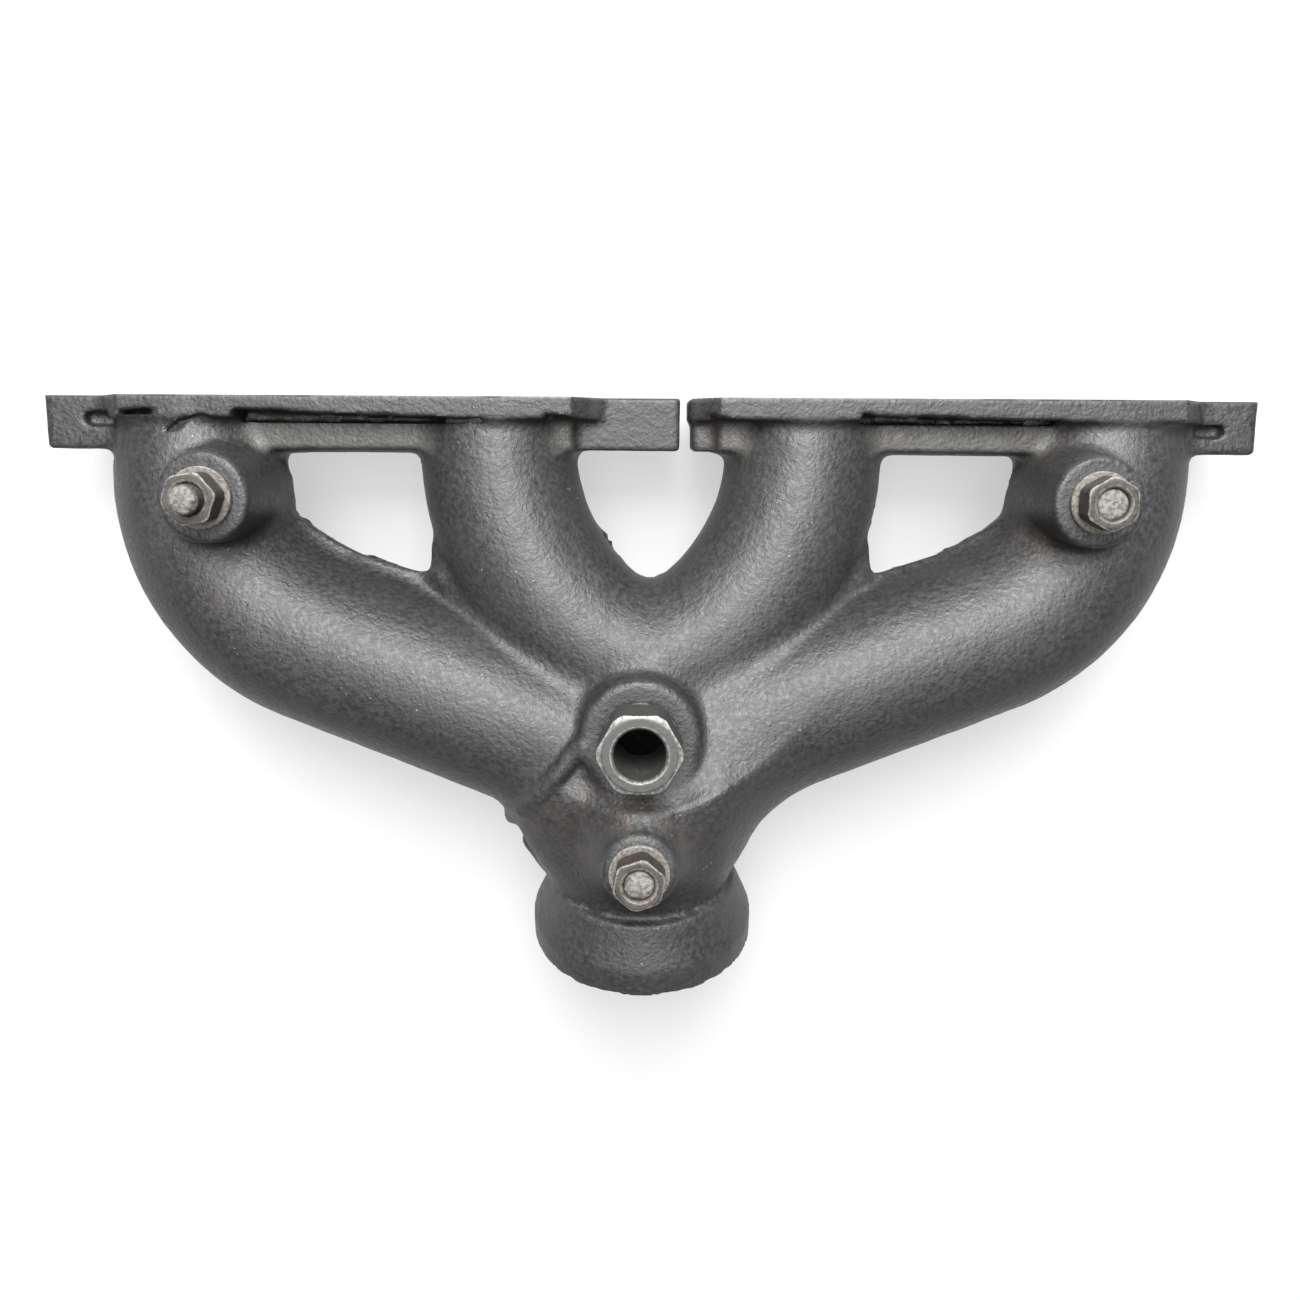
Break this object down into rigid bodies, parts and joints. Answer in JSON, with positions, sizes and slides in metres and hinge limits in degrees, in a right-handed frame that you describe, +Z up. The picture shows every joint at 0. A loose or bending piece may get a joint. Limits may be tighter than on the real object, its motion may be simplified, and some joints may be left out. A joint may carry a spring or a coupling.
{
  "type": "exhaust manifold",
  "caption": "Cast-iron exhaust manifold that joins four head ports on two flanges into one round outlet, with heat-shield studs and a threaded probe adaptor.",
  "frame": {"origin": "centre of the middle bolt hole on the head face, on the line of the port centres", "axes": "+X along the flanges, from port 1 to port 4; +Y out of the head face, into the head; +Z up, the side with the studs"},
  "size_m": [0.347, 0.1706, 0.092],
  "materials": {
    "cast_iron": "matt sand-cast skin, dark grey, dusty on the ledges",
    "stud_steel": "oxidised grey steel",
    "nut_steel": "oxidised steel with bright worn corners",
    "washer_steel": "tan oxidised steel",
    "adaptor_steel": "turned grey steel",
    "seal_copper": "dull heat-stained copper"
  },
  "bodies": {
    "casting": {"manifold_casting": "cast_iron", "left_stud": "stud_steel", "right_stud": "stud_steel", "lower_stud": "stud_steel"},
    "left_washer": {"left_washer": "washer_steel"},
    "left_nut": {"left_nut": "nut_steel"},
    "right_washer": {"right_washer": "washer_steel"},
    "right_nut": {"right_nut": "nut_steel"},
    "lower_washer": {"lower_washer": "washer_steel"},
    "lower_nut": {"lower_nut": "nut_steel"},
    "adaptor_seal": {"adaptor_seal": "seal_copper"},
    "probe_adaptor": {"probe_adaptor": "adaptor_steel"}
  },
  "joints": [
    {"name": "left_nut_lift", "type": "slide", "parent": "casting", "child": "left_washer", "axis": [0, 0, 1], "range_m": [0, 0.01314]},
    {"name": "left_nut_turn", "type": "hinge", "parent": "left_washer", "child": "left_nut", "pos_m": [-0.119, -0.0273, 0.05], "axis": [0, 0, 1], "range_deg": [0, 3780]},
    {"name": "right_nut_lift", "type": "slide", "parent": "casting", "child": "right_washer", "axis": [0, 0, 1], "range_m": [0, 0.00813]},
    {"name": "right_nut_turn", "type": "hinge", "parent": "right_washer", "child": "right_nut", "pos_m": [0.119, -0.0273, 0.05], "axis": [0, 0, 1], "range_deg": [0, 2340]},
    {"name": "lower_nut_lift", "type": "slide", "parent": "casting", "child": "lower_washer", "axis": [0, 0, 1], "range_m": [0, 0.00876]},
    {"name": "lower_nut_turn", "type": "hinge", "parent": "lower_washer", "child": "lower_nut", "pos_m": [-0.0025, -0.1265, 0.062], "axis": [0, 0, 1], "range_deg": [0, 2520]},
    {"name": "probe_adaptor_lift", "type": "slide", "parent": "casting", "child": "adaptor_seal", "axis": [0, 0, 1], "range_m": [0, 0.01351]},
    {"name": "probe_adaptor_turn", "type": "hinge", "parent": "adaptor_seal", "child": "probe_adaptor", "pos_m": [-0.0025, -0.0925, 0.05], "axis": [0, 0, 1], "range_deg": [0, 3240]}
  ],
  "couplings": [
    {"joint": "left_nut_lift", "follows": "left_nut_turn", "m_per_rad": 0.00019894},
    {"joint": "right_nut_lift", "follows": "right_nut_turn", "m_per_rad": 0.00019894},
    {"joint": "lower_nut_lift", "follows": "lower_nut_turn", "m_per_rad": 0.00019894},
    {"joint": "probe_adaptor_lift", "follows": "probe_adaptor_turn", "m_per_rad": 0.00023873}
  ]
}
